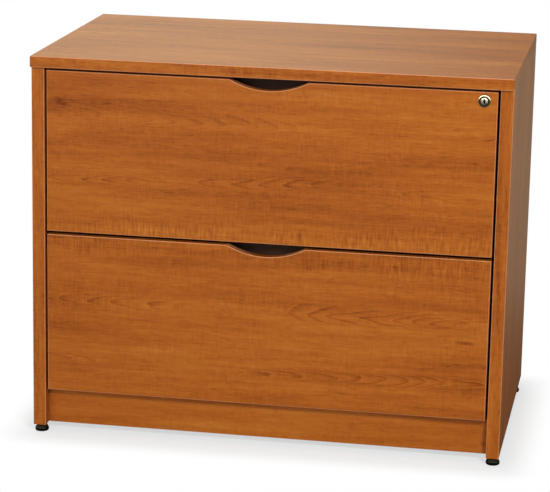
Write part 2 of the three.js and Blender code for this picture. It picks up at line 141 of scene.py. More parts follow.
# Cherry laminate: printed decor paper pressed on board under a satin overlay. The eye sees warm orange-brown
# with slow changes of tone, fine fibres, faint arches, short pores and a cross figure like watered silk.
laminate = {
    "tones": [(0.0, "#6b2d05"), (1.0, "#c47c32"), (0.28, "#964c0f"), (0.5, "#a85915"), (0.72, "#b3671e")],
    "middleTone": 0.5,
    "roughness": 0.34,
    "ior": 1.45,
    "bump": 0.00003,  # metres
    "bumpStrength": 0.5,
    # Painted highlight: the arris colour, mixed in along eased arrises, stands in for the light they catch
    "arris": "#cf9068",
    "arrisMix": 0.58,
    "arrisFacing": (0.1, 0.35),  # from a flat face to one that lies between two axes
    "endFacing": 0.8,  # faces that look along the grain by more are the board's ends
    # Length along the grain, across and through it in mm, detail, strength
    "streaks": {
        "tone": ((520, 60, 60), 2, 0.68),
        "band": ((240, 15, 15), 3, 0.56),
        "fibre": ((90, 3.4, 3.4), 3, 0.26),  # real fibres are 0.5 mm wide; drawn coarser so that they show
        "fleck": ((18, 3.4, 3.4), 2, 0.40),
        "hair": ((45, 0.7, 0.7), 2, 0.34),
    },
    # Lengths in mm, as above, of the noises that place and bend the other marks
    "noises": {
        "archBend": (150, 34, 34),
        "archPatch": (260, 60, 60),
        "pore": (16, 2.4, 2.4),  # real pores are 0.3 mm wide; drawn coarser so that they show
        "figure": (3.4, 27, 27),  # real figure is finer; drawn coarser so that it shows
        "figurePatch": (110, 60, 60),
    },
    "noiseDetail": 1,
    "noiseStep": (3.7, 1.9, 0),  # keeps the noises from lining up
    # Arches are nested curves in rows. Pitches and the middle of one row are in metres.
    "rowPitch": 0.1205,
    "rowAt": 0.038,
    "archPitch": 0.05,
    # In pitches of a row or of an arch
    "rowSway": 0.4,
    "rowReach": (0.17, 0.051),
    "archCurve": 150.0,
    "archWarp": 3.0,
    "darkLine": (0.5, 0.04),
    "paleLine": (0.7, 1.0),
    # Strengths of the marks, and the levels of their noise at which they show
    "arch": 0.24,
    "archShow": (0.4, 0.58),
    "paleStrength": 0.35,
    "pore": 0.15,
    "poreShow": (0.6, 0.72),
    "figure": 0.66,
    "figureMiddle": 0.53,
    # Two levels of the figure's patch noise and the figure's share at each, away from the joint and along it
    "figureCover": (0.38, 0.68, 0.15, 0.6),
    "seamCover": (0.38, 0.62, 0.85, 1.75),
    "seamReach": (0.075, 0.01),  # metres from the joint
    # Knots: strength, size in mm, and reach in shares of that size
    "knot": 0.38,
    "knotField": (330, 85, 85),
    "knotReach": (0.08, 0.02),
    "plainKnot": 0.27,
    "plainKnotSize": (25, 15, 15),
    "plainKnotFray": 1.6,
    "plainKnotReach": (1.8, 0.8),
}


def grainSpace(tree, spot, facing, shift):
    # The edge band's grain runs along the edge where the board's own grain would show its ends
    along, across, through = spot
    end = addNode(tree, "Math", [facing[0]], operation="ABSOLUTE")
    end = addNode(tree, "Math", [end, laminate["endFacing"]], operation="GREATER_THAN")
    faceGrain = addNode(tree, "CombineXYZ", [along, across, through])
    edgeGrain = addNode(tree, "CombineXYZ", [across, along, through])
    grain = addNode(tree, "Mix", {0: end, 4: faceGrain, 5: edgeGrain}, data_type="VECTOR")
    return addNode(tree, "VectorMath", [grain, shift], operation="ADD")


def grainNoises(tree, grain):
    wanted = [(part, lengths, detail) for part, (lengths, detail, strength) in laminate["streaks"].items()]
    for part, lengths in laminate["noises"].items():
        wanted.append((part + "Noise", lengths, laminate["noiseDetail"]))
    noises = {}
    for i, (part, lengths, detail) in enumerate(wanted):
        start = [step * i for step in laminate["noiseStep"]]
        where = addNode(tree, "Mapping", {"Vector": grain, "Scale": perMetre(*lengths), "Location": start})
        noises[part] = addNode(tree, "TexNoise", {"Vector": where, "Scale": 1.0, "Detail": detail})
    return noises


def figureCover(tree, noises, across, figureAt):
    # The figure shows in patches, and most of all along the joint where both fronts were cut from one sheet
    cover = addNode(tree, "MapRange", [noises["figurePatchNoise"], *laminate["figureCover"]])
    if figureAt is None:
        return cover, 0.0
    away = addNode(tree, "Math", [across, figureAt], operation="SUBTRACT")
    away = addNode(tree, "Math", [away], operation="ABSOLUTE")
    peak = addNode(tree, "MapRange", [noises["figurePatchNoise"], *laminate["seamCover"]])
    band = addNode(tree, "MapRange", [away, *laminate["seamReach"], 0.0, peak], **smooth)
    return addNode(tree, "Math", [cover, band], operation="MAXIMUM"), band


def archLines(tree, noises, along, across, plain):
    # Arch tips point left in one row and right in the next, each a dark line with a pale one beside it
    middle = 0.5  # of a row
    start = middle - laminate["rowAt"] / laminate["rowPitch"] - laminate["rowSway"] / 2
    row = addNode(tree, "Math", [across, 1 / laminate["rowPitch"], start], operation="MULTIPLY_ADD")
    row = addNode(tree, "Math", [noises["tone"], laminate["rowSway"], row], operation="MULTIPLY_ADD")
    count = addNode(tree, "Math", [row], operation="FLOOR")
    aside = addNode(tree, "Math", [row, count], operation="SUBTRACT")
    aside = addNode(tree, "Math", [aside, middle], operation="SUBTRACT")
    bow = addNode(tree, "Math", [aside, aside], operation="MULTIPLY")
    odd = addNode(tree, "Math", [count, 1.0], operation="PINGPONG")
    perArch = 1 / laminate["archPitch"]
    pointing = addNode(tree, "Math", [odd, -2 * perArch, perArch], operation="MULTIPLY_ADD")
    run = addNode(tree, "Math", [along, pointing], operation="MULTIPLY")
    bend = noises["archBendNoise"]
    run = addNode(tree, "Math", [bend, laminate["archWarp"], run], operation="MULTIPLY_ADD")
    run = addNode(tree, "Math", [bow, -laminate["archCurve"], run], operation="MULTIPLY_ADD")
    run = addNode(tree, "Math", [run], operation="FRACT")
    dark = addNode(tree, "MapRange", [run, *laminate["darkLine"]], **smooth)
    line = addNode(tree, "MapRange", [run, *laminate["paleLine"], dark, -laminate["paleStrength"]], **smooth)
    aside = addNode(tree, "Math", [aside], operation="ABSOLUTE")
    aside = addNode(tree, "Math", [aside, plain], operation="ADD")
    inRow = addNode(tree, "MapRange", [aside, *laminate["rowReach"]], **smooth)
    patch = addNode(tree, "MapRange", [noises["archPatchNoise"], *laminate["archShow"]], **smooth)
    patch = addNode(tree, "Math", [patch, inRow], operation="MULTIPLY")
    return addNode(tree, "Math", [line, patch], operation="MULTIPLY")


def scatteredKnots(tree, grain):
    where = addNode(tree, "Mapping", {"Vector": grain, "Scale": perMetre(*laminate["knotField"])})
    cell = addNode(tree, "TexVoronoi", {"Vector": where, "Scale": 1.0})
    return addNode(tree, "MapRange", [cell, *laminate["knotReach"]], **smooth)


def plainKnot(tree, noises, along, across, knotAt):
    where = addNode(tree, "CombineXYZ", [along, across])
    where = addNode(tree, "VectorMath", [where, (*knotAt, 0)], operation="SUBTRACT")
    where = addNode(tree, "VectorMath", [where, perMetre(*laminate["plainKnotSize"])], operation="MULTIPLY")
    away = addNode(tree, "VectorMath", [where], operation="LENGTH").outputs["Value"]
    away = addNode(tree, "Math", [noises["fleck"], laminate["plainKnotFray"], away], operation="MULTIPLY_ADD")
    return addNode(tree, "MapRange", [away, *laminate["plainKnotReach"]], **smooth)


def paintedArrisHighlight(tree, facing):
    # An eased arris faces between two axes; there the decor is mixed towards a pale colour, a painted
    # highlight for the light it catches
    between = 0.0
    for a, b in ((0, 1), (1, 2), (0, 2)):
        product = addNode(tree, "Math", [facing[a], facing[b]], operation="MULTIPLY")
        product = addNode(tree, "Math", [product], operation="ABSOLUTE")
        between = addNode(tree, "Math", [product, between], operation="ADD")
    return addNode(tree, "MapRange", [between, *laminate["arrisFacing"], 0.0, laminate["arrisMix"]], **smooth)


def cherryLaminate(name, board):
    material, tree, shader = newMaterial(name, Roughness=laminate["roughness"], IOR=laminate["ior"])
    place = addNode(tree, "TexCoord")
    point = addNode(tree, "SeparateXYZ", [place.outputs["Object"]]).outputs
    normal = addNode(tree, "SeparateXYZ", [place.outputs["Normal"]]).outputs
    axes = ["XYZ".index(letter) for letter in board["order"]]
    spot = [point[axis] for axis in axes]
    facing = [normal[axis] for axis in axes]
    along, across, through = spot
    grain = grainSpace(tree, spot, facing, board["shift"])
    noises = grainNoises(tree, grain)

    # Arches keep to the board's faces and off the figure along the joint
    cover, band = figureCover(tree, noises, across, board.get("figureAt"))
    flat = addNode(tree, "Math", [facing[2]], operation="ABSOLUTE")
    plain = addNode(tree, "Math", [1.0, flat], operation="SUBTRACT")
    plain = addNode(tree, "Math", [plain, band], operation="ADD")
    pore = addNode(tree, "MapRange", [noises["poreNoise"], *laminate["poreShow"]], **smooth)
    figure = addNode(tree, "Math", [noises["figureNoise"], laminate["figureMiddle"]], operation="SUBTRACT")
    figure = addNode(tree, "Math", [figure, cover], operation="MULTIPLY")

    layers = [(noises[part], strength) for part, (lengths, detail, strength) in laminate["streaks"].items()]
    tone = laminate["middleTone"] - sum(strength for noise, strength in layers) / 2
    layers.append((archLines(tree, noises, along, across, plain), -laminate["arch"]))
    layers.append((pore, -laminate["pore"]))
    layers.append((figure, laminate["figure"]))
    layers.append((scatteredKnots(tree, grain), -laminate["knot"]))
    if "knotAt" in board:
        layers.append((plainKnot(tree, noises, along, across, board["knotAt"]), -laminate["plainKnot"]))
    for layer, strength in layers:
        tone = addNode(tree, "Math", [layer, strength, tone], operation="MULTIPLY_ADD")
    # A board's lift makes its tone paler: painted light for a board that stands in shade
    level = laminate["middleTone"] - board["contrast"] / 2 + board.get("lift", 0.0)
    tone = addNode(tree, "Math", [tone, board["contrast"], level], operation="MULTIPLY_ADD")
    decor = addNode(tree, "ValToRGB", [tone], stops=laminate["tones"])

    arrisHighlightMask = paintedArrisHighlight(tree, facing)  # painted highlight: eased arrises are drawn paler, as if they caught the light
    surface = addNode(tree, "Mix", {0: arrisHighlightMask, 6: decor, 7: colour(laminate["arris"])}, data_type="RGBA")
    height = addNode(tree, "Math", [noises["fibre"], pore], operation="SUBTRACT")
    relief = {"Strength": laminate["bumpStrength"], "Distance": laminate["bump"]}
    bump = addNode(tree, "Bump", {"Height": height, **relief})
    tree.links.new(surface.outputs[2], shader.inputs["Base Color"])
    tree.links.new(bump.outputs[0], shader.inputs["Normal"])
    return material


# Height of the joint between the two fronts
seam = (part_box("lower_drawer_front")[1].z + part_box("upper_drawer_front")[0].z) / 2

# Order names the axes along the grain, across it and through the board.
# Shift keeps the boards from looking alike.
boards = {
    "cherryLaminateTop": {
        "nodes": ["top_panel", "bottom_panel"],
        "order": "XYZ",
        "shift": (0.31, 0.12, 0.0),
        "contrast": 1.5,
    },
    "cherryLaminateUpperFront": {
        "nodes": ["upper_drawer_front"],
        "order": "XZY",
        "shift": (1.7, 0.23, 0.4),
        "contrast": 1.06,
        "figureAt": seam,
        "knotAt": (-0.402, 0.66),  # metres along the grain and across it
    },
    "cherryLaminateLowerFront": {
        "nodes": ["lower_drawer_front"],
        "order": "XZY",
        "shift": (4.2, 0.55, 0.9),
        "contrast": 1.06,
        "figureAt": seam,
    },
    "cherryLaminateKick": {
        "nodes": ["kick_plate", "back_panel"],
        "order": "XZY",
        "shift": (6.9, 0.71, 1.3),
        "contrast": 1.0,
        # Painted light: these boards are drawn paler, standing in for light on the kick, which is recessed
        # and shaded by the lower drawer
        "lift": 0.1,
    },
    "cherryLaminateSide": {
        "nodes": ["left_side_panel", "right_side_panel"],
        "order": "ZYX",
        "shift": (9.1, 0.37, 1.9),
        "contrast": 1.4,
    },
}
for name, board in boards.items():
    dress(cherryLaminate(name, board), *board["nodes"])
print("boards dressed")


# The other finishes are two tones and two degrees of gloss mixed by one stretched noise, over a fine relief.
# Grain and relief are in millimetres, relief depth in metres.
finishes = {
    # Melamine-faced board, pressed with a linear grain: matt charcoal with fine paler streaks
    "charcoalMelamine": {
        "tones": [(0.3, "#2b2927"), (0.7, "#403d3a")],
        "grain": (2.2, 150, 2.2),
        "gloss": (0.5, 0.66),
        "relief": 1.6,
        "reliefDepth": 0.00004,
        "metal": 0.0,
    },
    # Black ABS moulded with a spark-eroded texture: matt black, drawn brownish and paler as painted light for
    # the warm light that the laminate throws into the pull, and paler still where hands have polished it.
    # The real texture is 0.3 mm; drawn coarser so that it shows.
    "texturedBlackAbs": {
        "tones": [(0.3, "#2a1913"), (0.7, "#3d271d")],
        "grain": (22, 22, 22),
        "gloss": (0.42, 0.56),
        "relief": 0.9,
        "reliefDepth": 0.00006,
        "metal": 0.0,
    },
    # Black nylon, moulded: deep black that mirrors little of the room, dulled in clouds by scuffing
    "glossyBlackNylon": {
        "tones": [(0.3, "#050404"), (0.7, "#0d0b0a")],
        "grain": (12, 12, 12),
        "gloss": (0.14, 0.3),
        "relief": 3.0,
        "reliefDepth": 0.00004,
        "metal": 0.0,
        "mirror": 0.12,
    },
    # Zinc-plated steel, roll-formed: cool silver with fine streaks along the roll and clouds in its gloss
    "zincPlatedSteel": {
        "tones": [(0.25, "#a3a1a2"), (0.75, "#cecbc9")],
        "grain": (1.5, 130, 1.5),
        "gloss": (0.22, 0.42),
        "relief": 2.4,
        "reliefDepth": 0.00002,
        "metal": 1.0,
    },
    # Black powder coat on steel: near black, satin, with the coat's orange peel about 1.4 mm across
    "blackPowderCoat": {
        "tones": [(0.3, "#161514"), (0.7, "#242322")],
        "grain": (40, 40, 40),
        "gloss": (0.36, 0.52),
        "relief": 1.4,
        "reliefDepth": 0.0001,
        "metal": 0.0,
    },
    # Bright chrome on die-cast zinc: a mirror, a little hazy where fingers and keys rub it
    "brightChrome": {
        "tones": [(0.3, "#d6d2ca"), (0.7, "#efece6")],
        "grain": (9, 9, 9),
        "gloss": (0.06, 0.16),
        "relief": 5.0,
        "reliefDepth": 0.00001,
        "metal": 1.0,
    },
    # Painted shade: dull black laid in the lock's groove and key slot, where the recesses fall into shade
    "paintedShadeBlack": {
        "tones": [(0.3, "#0b0908"), (0.7, "#17130f")],
        "grain": (4, 4, 4),
        "gloss": (0.78, 0.92),
        "relief": 0.8,
        "reliefDepth": 0.00004,
        "metal": 0.0,
    },
    # Satin chrome on the plug, which keys have scuffed: a soft bright sheen with no clear mirror
    "satinChrome": {
        "tones": [(0.3, "#e2dcd1"), (0.7, "#f8f4ec")],
        "grain": (3, 3, 3),
        "gloss": (0.44, 0.56),
        "relief": 1.2,
        "reliefDepth": 0.00002,
        "metal": 1.0,
    },
}
finishPattern = {"grainDetail": 3.0, "glossSpan": (0.3, 0.7), "reliefDetail": 2.0, "reliefStrength": 0.6}


def plainFinish(name):
    look = finishes[name]
    pattern = finishPattern
    material, tree, shader = newMaterial(name, Metallic=look["metal"])
    if "mirror" in look:
        shader.inputs["Specular IOR Level"].default_value = look["mirror"]
    place = addNode(tree, "TexCoord").outputs["Object"]
    where = addNode(tree, "Mapping", {"Vector": place, "Scale": perMetre(*look["grain"])})
    grain = addNode(tree, "TexNoise", {"Vector": where, "Scale": 1.0, "Detail": pattern["grainDetail"]})
    tone = addNode(tree, "ValToRGB", [grain], stops=look["tones"])
    gloss = addNode(tree, "MapRange", [grain, *pattern["glossSpan"], *look["gloss"]])
    fine = perMetre(look["relief"])[0]
    relief = addNode(tree, "TexNoise", {"Vector": place, "Scale": fine, "Detail": pattern["reliefDetail"]})
    depth = look["reliefDepth"]
    bump = addNode(tree, "Bump", {"Height": relief, "Strength": pattern["reliefStrength"], "Distance": depth})
    tree.links.new(tone.outputs[0], shader.inputs["Base Color"])
    tree.links.new(gloss.outputs[0], shader.inputs["Roughness"])
    tree.links.new(bump.outputs[0], shader.inputs["Normal"])
    return material


finish = {name: plainFinish(name) for name in finishes}
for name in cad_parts:
    if "_box_" in name:
        dress(finish["charcoalMelamine"], name)
    elif "_finger_pull" in name:
        dress(finish["texturedBlackAbs"], name)
    elif "_slide_" in name or "_insert" in name or name in ("lock_nut", "lock_cam"):
        dress(finish["zincPlatedSteel"], name)
    elif "_file_rail" in name or "_catch" in name or "lock_bar" in name:
        dress(finish["blackPowderCoat"], name)
print("hardware dressed")


# Sizes of the pieces below are in millimetres
weldDistance = 1e-6  # metres
smoothAngle = math.radians(38)  # faces that meet at less are shaded as one
roundAngle = 1.0  # edges that turn by more radians are rounded
roundSteps = 2


def curved(start, end, steps, bulge=(1.0, 1.0)):
    # A quarter of an ellipse, or a fuller or flatter curve, which leaves start level and reaches end upright
    points = []
    for k in range(steps + 1):
        turn = math.pi / 2 * k / steps
        radius = start[0] + (end[0] - start[0]) * math.sin(turn) ** bulge[0]
        rise = end[1] + (start[1] - end[1]) * math.cos(turn) ** bulge[1]
        points.append((radius, rise))
    return points


def turned(profile, steps):
    shape = bmesh.new()
    points = [shape.verts.new((radius / 1000, 0, rise / 1000)) for radius, rise in profile]
    edges = [shape.edges.new(pair) for pair in zip(points, points[1:])]
    bmesh.ops.spin(
        shape, geom=points + edges, cent=(0, 0, 0), axis=(0, 0, 1), angle=2 * math.pi, steps=steps,
        use_merge=True,
    )
    bmesh.ops.remove_doubles(shape, verts=shape.verts, dist=weldDistance)
    return shape


def drawOut(shape, faces, way):
    drawn = bmesh.ops.extrude_face_region(shape, geom=faces)["geom"]
    ends = [item for item in drawn if isinstance(item, bmesh.types.BMVert)]
    bmesh.ops.translate(shape, vec=way, verts=ends)


def roundEdges(shape, radius):
    sharp = [edge for edge in shape.edges if edge.is_manifold and edge.calc_face_angle() > roundAngle]
    bmesh.ops.bevel(
        shape, geom=sharp, offset=radius / 1000, offset_type="OFFSET", segments=roundSteps, profile=0.5,
        affect="EDGES", material=-1,
    )


def repeated(pattern, places):
    model = bpy.data.meshes.new("pattern")
    pattern.to_mesh(model)
    pattern.free()
    shape = bmesh.new()
    for place in places:
        count = len(shape.verts)
        shape.from_mesh(model)
        shape.verts.ensure_lookup_table()
        bmesh.ops.transform(shape, matrix=place, verts=shape.verts[count:])
    bpy.data.meshes.remove(model)
    return shape


def finishPiece(shape, name, body, material, replaced=None):
    bmesh.ops.recalc_face_normals(shape, faces=shape.faces)
    mesh = bpy.data.meshes.new(name)
    shape.to_mesh(mesh)
    shape.free()
    mesh.materials.append(material)
    mesh.shade_smooth()
    mesh.set_sharp_from_angle(angle=smoothAngle)
    piece = bpy.data.objects.new(name, mesh)
    scene.collection.objects.link(piece)
    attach(piece, body)
    if replaced:
        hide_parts(replaced)
    return piece


# Levelling glides: moulded foot with finger flutes round its taper, on a stud. Points are radius and rise.
glide = {
    "sole": [(0, 0.4), (9.6, 0.4), (10.2, 0.0)],
    "rimStart": (11.4, 0.0),
    "rim": (13.5, 4.2),
    "neck": (9.9, 13.4),
    "shoulder": (8.6, 15.7),
    "stud": [(4.0, 15.7), (4.0, 39.2), (3.2, 40.0), (0, 40.0)],
    "rimSteps": 5,
    "flankSteps": 7,
    "shoulderSteps": 3,
    "steps": 96,
    "flutes": 12,
    "fluteDepth": 0.8,
    "fluteFrom": 5.0,
    "fluteTo": 14.6,
}


def glideProfile():
    (wide, low), (narrow, high) = glide["rim"], glide["neck"]
    flank = []
    for k in range(1, glide["flankSteps"]):
        along = k / glide["flankSteps"]
        taper = (1 + math.cos(math.pi * along)) / 2
        flank.append((narrow + (wide - narrow) * taper, low + (high - low) * along))
    foot = curved(glide["rimStart"], glide["rim"], glide["rimSteps"])
    top = curved(glide["shoulder"], glide["neck"], glide["shoulderSteps"])
    return glide["sole"] + foot + flank + top[::-1] + glide["stud"]


def makeGlide(row, hand):
    name = row + "_" + hand + "_leveller"
    low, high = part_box(name)
    shape = turned(glideProfile(), glide["steps"])
    bottom, top = glide["fluteFrom"], glide["fluteTo"]
    for vert in shape.verts:
        height = vert.co.z * 1000
        if bottom < height < top:
            swell = math.sin(math.pi * (height - bottom) / (top - bottom))
            wave = max(0.0, math.cos(glide["flutes"] * math.atan2(vert.co.y, vert.co.x)))
            vert.co.xy *= 1 - glide["fluteDepth"] * swell * wave / (vert.co.xy.length * 1000)
    bmesh.ops.translate(shape, vec=((low.x + high.x) / 2, (low.y + high.y) / 2, low.z), verts=shape.verts)
    material = finish["glossyBlackNylon"]
    finishPiece(shape, "glide_" + row + "_" + hand, name, material, name)


for row in ("front", "rear"):
    for hand in ("left", "right"):
        makeGlide(row, hand)
print("glides made")

# Cam lock: a domed bezel with a groove, painted black as shade, round a domed plug with a key slot. Points
# are radius and rise, which runs back from the front's face.
lock = {
    "bezelMouth": [(7.65, -1.2), (8.1, -1.2), (8.3, -3.1), (8.5, -3.3)],
    "bezelDome": {"start": (9.1, -3.34), "end": (12.75, -0.3), "steps": 7, "bulge": (1.0, 1.54)},
    "bezelBarrel": [(9.5, -0.3), (9.5, 25.3), (7.65, 25.3), (7.65, -1.2)],
    "plugDome": {"start": (0, -4.3), "end": (7.25, -1.2), "steps": 9, "bulge": (0.4, 1.0)},
    "plugTail": [(7.25, 25.3), (3.5, 25.3), (3.5, 28.8), (0, 28.8)],
    "steps": 72,
    "groove": (6.8, 8.6),  # radii between which bezel and plug are painted black, as painted shade in the groove
    # Corners of the warded key slot, as seen from the front
    "slot": [
        (-1.6, 4.2), (1.0, 4.2), (1.5, 1.2), (2.3, 0.6),
        (1.9, -0.8), (1.8, -4.2), (-0.9, -4.2), (-1.9, 0.4),
    ],
    "slotLead": 1.0,
    "slotDepth": 10.0,
}


def cutKeySlot(piece, centre):
    # The slot is cut by a drawn bar, whose own faces stay inside it, painted black as shade
    bar = bmesh.new()
    start = lock["plugDome"]["start"][1] - lock["slotLead"]
    corners = [bar.verts.new((x / 1000, start / 1000, z / 1000)) for x, z in lock["slot"]]
    drawOut(bar, [bar.faces.new(corners)], (0, lock["slotDepth"] / 1000, 0))
    bmesh.ops.translate(bar, vec=centre, verts=bar.verts)
    bmesh.ops.recalc_face_normals(bar, faces=bar.faces)
    for face in bar.faces:
        face.material_index = 1
    cutter = bpy.data.meshes.new("keySlot")
    bar.to_mesh(cutter)
    bar.free()
    for coat in ("satinChrome", "paintedShadeBlack"):
        cutter.materials.append(finish[coat])
    tool = bpy.data.objects.new("keySlot", cutter)
    scene.collection.objects.link(tool)
    cut = piece.modifiers.new("keySlot", "BOOLEAN")
    cut.object = tool
    cut.solver = "EXACT"
    bpy.context.view_layer.update()
    shown = piece.evaluated_get(bpy.context.evaluated_depsgraph_get())
    piece.data = bpy.data.meshes.new_from_object(shown)
    piece.modifiers.clear()
    bpy.data.objects.remove(tool)


def makeLock():
    low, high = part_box("lock_housing")
    centre = Vector(((low.x + high.x) / 2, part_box("upper_drawer_front")[0].y, (low.z + high.z) / 2))
    place = Matrix.Translation(centre) @ Matrix.Rotation(-math.pi / 2, 4, "X")
    bezel = lock["bezelMouth"] + curved(**lock["bezelDome"]) + lock["bezelBarrel"]
    plug = curved(**lock["plugDome"]) + lock["plugTail"]
    pieces = {}
    for profile, name, body, coat, replaced in (
        (bezel, "lockBezel", "upper_drawer", "brightChrome", "lock_housing"),
        (plug, "lockPlug", "lock_cylinder", "satinChrome", "lock_plug"),
    ):
        shape = turned(profile, lock["steps"])
        for face in shape.faces:
            reach = face.calc_center_median().xy.length * 1000
            face.material_index = int(lock["groove"][0] < reach < lock["groove"][1])
        bmesh.ops.transform(shape, matrix=place, verts=shape.verts)
        pieces[name] = finishPiece(shape, name, body, finish[coat], replaced)
        pieces[name].data.materials.append(finish["paintedShadeBlack"])
    cutKeySlot(pieces["lockPlug"], centre)


makeLock()
print("lock made")

# Pan-head screws: on the slides, through the inner fronts, and on the lock's catches and guides
screw = {
    "recess": [(0, 0.9), (0.5, 0.95), (1.1, 1.3), (1.7, 1.62)],
    "crown": {"start": (2.4, 1.7), "end": (3.8, 0.4), "steps": 3},
    "rim": [(3.8, 0)],
    "steps": 24,
    "crossArms": 4,
    "crossReach": 2.6,
    "crossDepth": 0.8,
    "slideAlong": (30, 150, 270, 390),
    "frontAcross": (-330, -120, 120, 330),
    "frontUp": (60, 215),
    "slideSheet": 1.4,
    "catchSheet": 2.0,
    "catchBack": (10, 18),
    "catchDrop": 7,
    "guideInset": 2.7,
    "smallScale": 0.6,
}


def screwHead():
    head = turned(screw["recess"] + curved(**screw["crown"]) + screw["rim"], screw["steps"])
    for vert in head.verts:
        reach = vert.co.xy.length * 1000
        if 0 < reach < screw["crossReach"]:
            arm = max(0.0, math.cos(screw["crossArms"] * math.atan2(vert.co.y, vert.co.x)))
            vert.co.z -= screw["crossDepth"] / 1000 * arm * (1 - reach / screw["crossReach"])
    return head


def makeScrews():
    facing = {"left": Matrix.Rotation(-math.pi / 2, 4, "Y"), "right": Matrix.Rotation(math.pi / 2, 4, "Y")}
    toBack = Matrix.Rotation(-math.pi / 2, 4, "X")
    small = Matrix.Diagonal((screw["smallScale"],) * 3 + (1,))
    places = {"upper_drawer": [], "lower_drawer": [], "carcass": []}
    for level in ("upper", "lower"):
        heads = places[level + "_drawer"]
        for hand, sign in (("left", -1), ("right", 1)):
            low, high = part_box(level + "_" + hand + "_slide_drawer_member")
            crown = (low.x if sign > 0 else high.x) + sign * screw["slideSheet"] / 1000
            for along in screw["slideAlong"]:
                point = (crown, low.y + along / 1000, (low.z + high.z) / 2)
                heads.append(Matrix.Translation(point) @ facing[hand])
        low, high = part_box(level + "_box_inner_front")
        for across in screw["frontAcross"]:
            for up in screw["frontUp"]:
                point = (across / 1000, high.y, low.z + up / 1000)
                heads.append(Matrix.Translation(point) @ toBack)
        low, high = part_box(level + "_lock_catch")
        crown, up = low.x + screw["catchSheet"] / 1000, high.z - screw["catchDrop"] / 1000
        for back in screw["catchBack"]:
            point = (crown, low.y + back / 1000, up)
            heads.append(Matrix.Translation(point) @ facing["right"] @ small)
        low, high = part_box(level + "_lock_bar_guide")
        for y in (low.y + screw["guideInset"] / 1000, high.y - screw["guideInset"] / 1000):
            point = (low.x, y, (low.z + high.z) / 2)
            places["carcass"].append(Matrix.Translation(point) @ facing["left"] @ small)
    for body, heads in places.items():
        shape = repeated(screwHead(), heads)
        finishPiece(shape, body + "_screws", body, finish["zincPlatedSteel"])


makeScrews()
print("screws made")

# Rail clips: moulded caps that hold the file rails down in the slots of the box sides
clip = {
    "overhang": 1.2,
    "lip": 1.4,
    "lipDrop": 8.0,
    "width": 13.0,
    "thickness": 2.0,
    "gap": 0.3,
    "round": 0.5,
    "facesDown": -0.9,  # faces whose normal rises less than this look down
}


def clipShape(wall):
    left, right = -wall - clip["overhang"], clip["gap"] + clip["lip"]
    size = Matrix.Diagonal(((right - left) / 1000, clip["width"] / 1000, clip["thickness"] / 1000, 1))
    middle = Matrix.Translation(((left + right) / 2000, 0, (clip["gap"] + clip["thickness"] / 2) / 1000))
    outside = clip["gap"] / 1000
    shape = bmesh.new()
    bmesh.ops.create_cube(shape, size=1, matrix=middle @ size)
    everything = shape.verts[:] + shape.edges[:] + shape.faces[:]
    bmesh.ops.bisect_plane(shape, geom=everything, plane_co=(outside, 0, 0), plane_no=(1, 0, 0))
    shape.normal_update()
    under = [
        face for face in shape.faces
        if face.normal.z < clip["facesDown"] and face.calc_center_median().x > outside
    ]
    drawOut(shape, under, (0, 0, -clip["lipDrop"] / 1000))
    bmesh.ops.delete(shape, geom=[face for face in under if face.is_valid], context="FACES_ONLY")
    roundEdges(shape, clip["round"])
    return shape


def makeClips(level):
    places = []
    for row in ("front", "rear"):
        railLow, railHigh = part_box(level + "_" + row + "_file_rail")
        for hand, sign in (("left", -1), ("right", 1)):
            low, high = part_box(level + "_box_" + hand + "_side")
            outer = high.x if sign > 0 else low.x
            point = Vector((outer, (railLow.y + railHigh.y) / 2, high.z))
            places.append(Matrix.Translation(point) @ Matrix.Diagonal((sign, 1, 1, 1)))
    shape = repeated(clipShape((high.x - low.x) * 1000), places)
    material = finish["glossyBlackNylon"]
    finishPiece(shape, level + "_rail_clips", level + "_drawer", material)


for level in ("upper", "lower"):
    makeClips(level)
print("rail clips made")

# Release levers: the moulded tongues in the slides that free a drawer from its runners
lever = {
    "length": 58.0,
    "height": 7.0,
    "thickness": 1.4,
    "along": 158.0,
    "stand": 1.0,
    "kick": 1.6,
    "tip": 9.0,
    "tipFrom": 2 / 3,  # share of the half length where the tips start to widen
    "cuts": 15,
    "round": 0.4,
}


def leverShape():
    half = lever["length"] / 2000
    shape = bmesh.new()
    size = Matrix.Diagonal((lever["thickness"] / 1000, lever["length"] / 1000, lever["height"] / 1000, 1))
    bmesh.ops.create_cube(shape, size=1, matrix=Matrix.Translation((lever["thickness"] / 2000, 0, 0)) @ size)
    lengthwise = [edge for edge in shape.edges if abs((edge.verts[0].co - edge.verts[1].co).y) > half]
    bmesh.ops.subdivide_edges(shape, edges=lengthwise, cuts=lever["cuts"], use_grid_fill=True)
    for vert in shape.verts:
        along = vert.co.y / half
        flare = max(0.0, (abs(along) - lever["tipFrom"]) / (1 - lever["tipFrom"]))
        vert.co.x += lever["kick"] / 1000 * max(0.0, along) ** 2
        vert.co.z *= 1 + (lever["tip"] / lever["height"] - 1) * flare
    roundEdges(shape, lever["round"])
    return shape


def makeLevers(level):
    places = []
    for hand, sign in (("left", -1), ("right", 1)):
        low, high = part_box(level + "_" + hand + "_slide_drawer_member")
        crown = (low.x if sign > 0 else high.x) + sign * (screw["slideSheet"] + lever["stand"]) / 1000
        point = Vector((crown, low.y + lever["along"] / 1000, (low.z + high.z) / 2))
        places.append(Matrix.Translation(point) @ Matrix.Diagonal((sign, 1, 1, 1)))
    shape = repeated(leverShape(), places)
    material = finish["glossyBlackNylon"]
    finishPiece(shape, level + "_release_levers", level + "_drawer", material)


for level in ("upper", "lower"):
    makeLevers(level)
print("release levers made")


